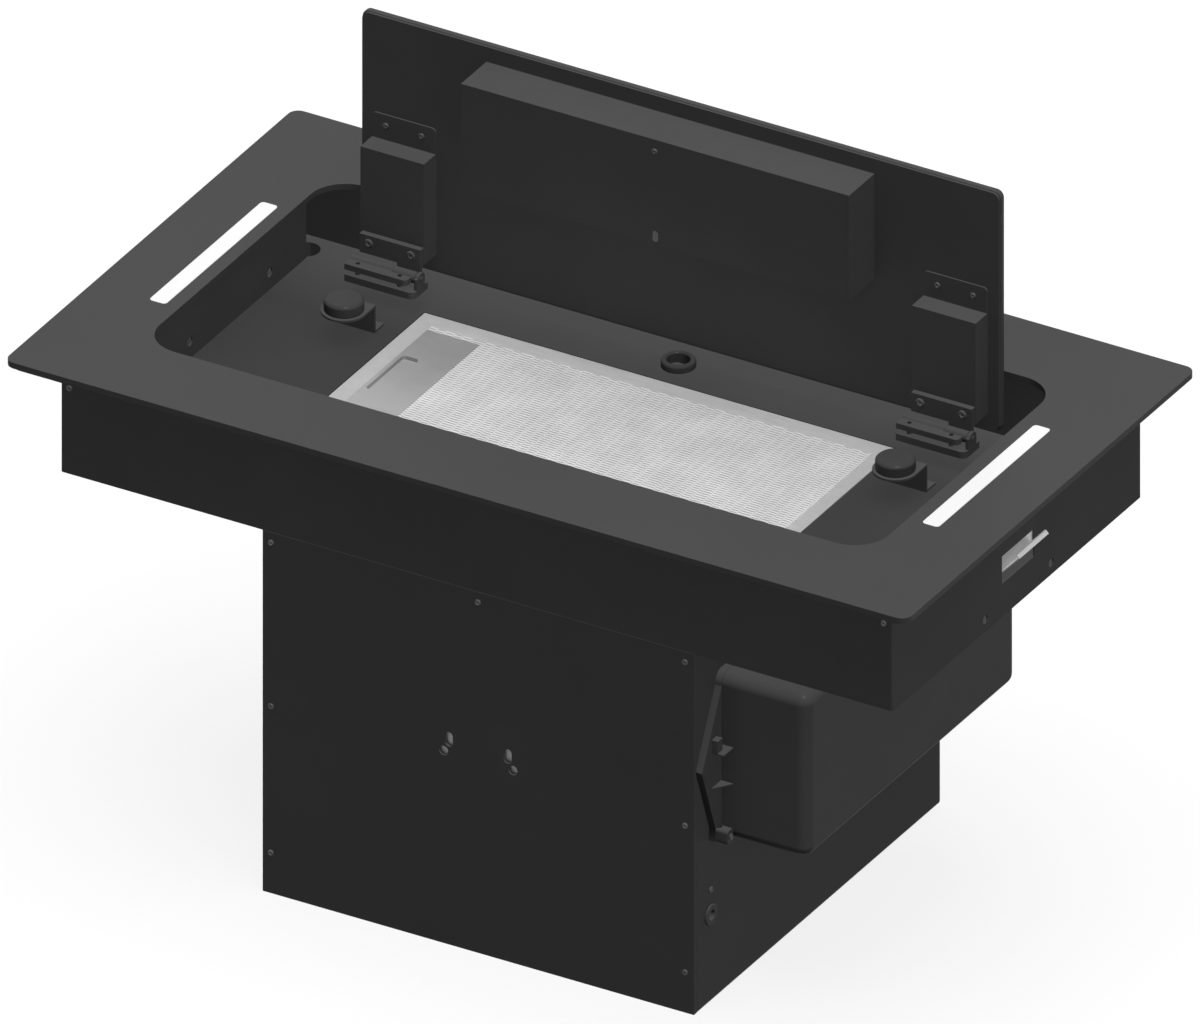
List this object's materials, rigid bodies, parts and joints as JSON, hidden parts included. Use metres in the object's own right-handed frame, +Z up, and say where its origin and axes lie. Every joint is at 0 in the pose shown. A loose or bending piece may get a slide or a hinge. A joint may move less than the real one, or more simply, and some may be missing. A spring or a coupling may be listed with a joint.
{
  "type": "downdraft vent",
  "caption": "Drop-in worktop downdraft vent: black glass frame with lights, a lifting glass flap on hinges, a recess with a metal grease filter, and a blower case below.",
  "frame": {"origin": "middle of the whole outline seen from above, at the level that the lower case stands on", "axes": "+X to the right along the glass, +Y to the back where the duct leaves, +Z up"},
  "size_m": [0.9, 0.502, 0.6723],
  "materials": {
    "black_glass": "opaque black enamelled glass",
    "black_paint": "satin black powder coat",
    "black_plastic": "moulded, fine grain",
    "black_screws": "black oxide",
    "rubber": "matte",
    "opal": "opal light diffuser",
    "zinc": "galvanised sheet",
    "stainless": "brushed",
    "aluminium": "satin",
    "aluminium_mesh": "expanded mesh",
    "board_green": "solder mask"
  },
  "bodies": {
    "case": {"top_glass": "black_glass", "worktop_seal": "rubber", "light_cover_left": "opal", "light_cover_right": "opal", "light_housings": "zinc", "light_boards": "board_green", "upper_case": "black_paint", "recess_tray": "black_paint", "recess_wall_left": "black_paint", "recess_wall_right": "black_paint", "recess_wall_front": "black_paint", "recess_wall_rear": "black_paint", "tray_grommet": "rubber", "bumper_bracket_left": "black_paint", "bumper_bracket_right": "black_paint", "bumper_left": "rubber", "bumper_right": "rubber", "hinge_base_left": "black_paint", "hinge_base_right": "black_paint", "hinge_fixed_leaf_left": "black_paint", "hinge_fixed_leaf_right": "black_paint", "hinge_pins": "stainless", "friction_washers": "black_screws", "filter_ledge": "zinc", "lower_case": "black_paint", "front_panel": "black_paint", "bottom_panel": "black_paint", "case_screws": "black_screws", "blower_housing": "zinc", "blower_cover": "zinc", "blower_bracket": "zinc", "blower_motor": "zinc", "motor_mount": "zinc", "duct_spigot": "black_plastic", "damper_pin": "stainless", "electronics_base": "black_plastic", "electronics_cover": "black_plastic", "circuit_board": "board_green", "cable_clamp": "black_plastic", "cable_gland": "black_plastic", "spring_plates": "stainless"},
    "fan": {"impeller": "aluminium", "fan_shaft": "stainless"},
    "left_damper": {"damper_left": "black_plastic"},
    "right_damper": {"damper_right": "black_plastic"},
    "left_spring": {"side_spring_left": "stainless"},
    "right_spring": {"side_spring_right": "stainless"},
    "filter": {"filter_frame": "aluminium", "filter_mesh": "aluminium_mesh", "filter_handle": "aluminium"},
    "catch": {"filter_catch": "aluminium"},
    "flap": {"flap_glass": "black_glass", "flap_backing": "black_paint", "flap_box": "black_paint", "flap_control_board": "board_green", "hinge_box_left": "black_paint", "hinge_box_right": "black_paint", "hinge_leaf_left": "black_paint", "hinge_leaf_right": "black_paint", "flap_screws": "black_screws"}
  },
  "joints": [
    {"name": "flap_hinge", "type": "hinge", "parent": "case", "child": "flap", "pos_m": [0, 0.1082, 0.4413], "axis": [1, 0, 0], "range_deg": [0, 90]},
    {"name": "fan_spin", "type": "hinge", "parent": "case", "child": "fan", "pos_m": [0.0015, -0.0515, 0.179], "axis": [1, 0, 0], "continuous": true},
    {"name": "left_damper_swing", "type": "hinge", "parent": "case", "child": "left_damper", "pos_m": [0.0015, 0.181, 0.089], "axis": [0, 0, -1], "range_deg": [0, 75], "stiffness_Nm_per_rad": 0.02},
    {"name": "right_damper_swing", "type": "hinge", "parent": "case", "child": "right_damper", "pos_m": [0.0015, 0.181, 0.089], "axis": [0, 0, 1], "range_deg": [0, 75], "stiffness_Nm_per_rad": 0.02},
    {"name": "left_spring_flex", "type": "hinge", "parent": "case", "child": "left_spring", "pos_m": [-0.4142, 0.0034, 0.4054], "axis": [0, 1, 0], "range_deg": [0, 28], "stiffness_Nm_per_rad": 2.3},
    {"name": "right_spring_flex", "type": "hinge", "parent": "case", "child": "right_spring", "pos_m": [0.4142, 0.0034, 0.4054], "axis": [0, -1, 0], "range_deg": [0, 28], "stiffness_Nm_per_rad": 2.3},
    {"name": "filter_lift", "type": "slide", "parent": "case", "child": "filter", "axis": [0, 0, 1], "range_m": [0, 0.014]},
    {"name": "filter_catch_slide", "type": "slide", "parent": "filter", "child": "catch", "axis": [1, 0, 0], "range_m": [0, 0.006], "stiffness_N_per_m": 300}
  ]
}
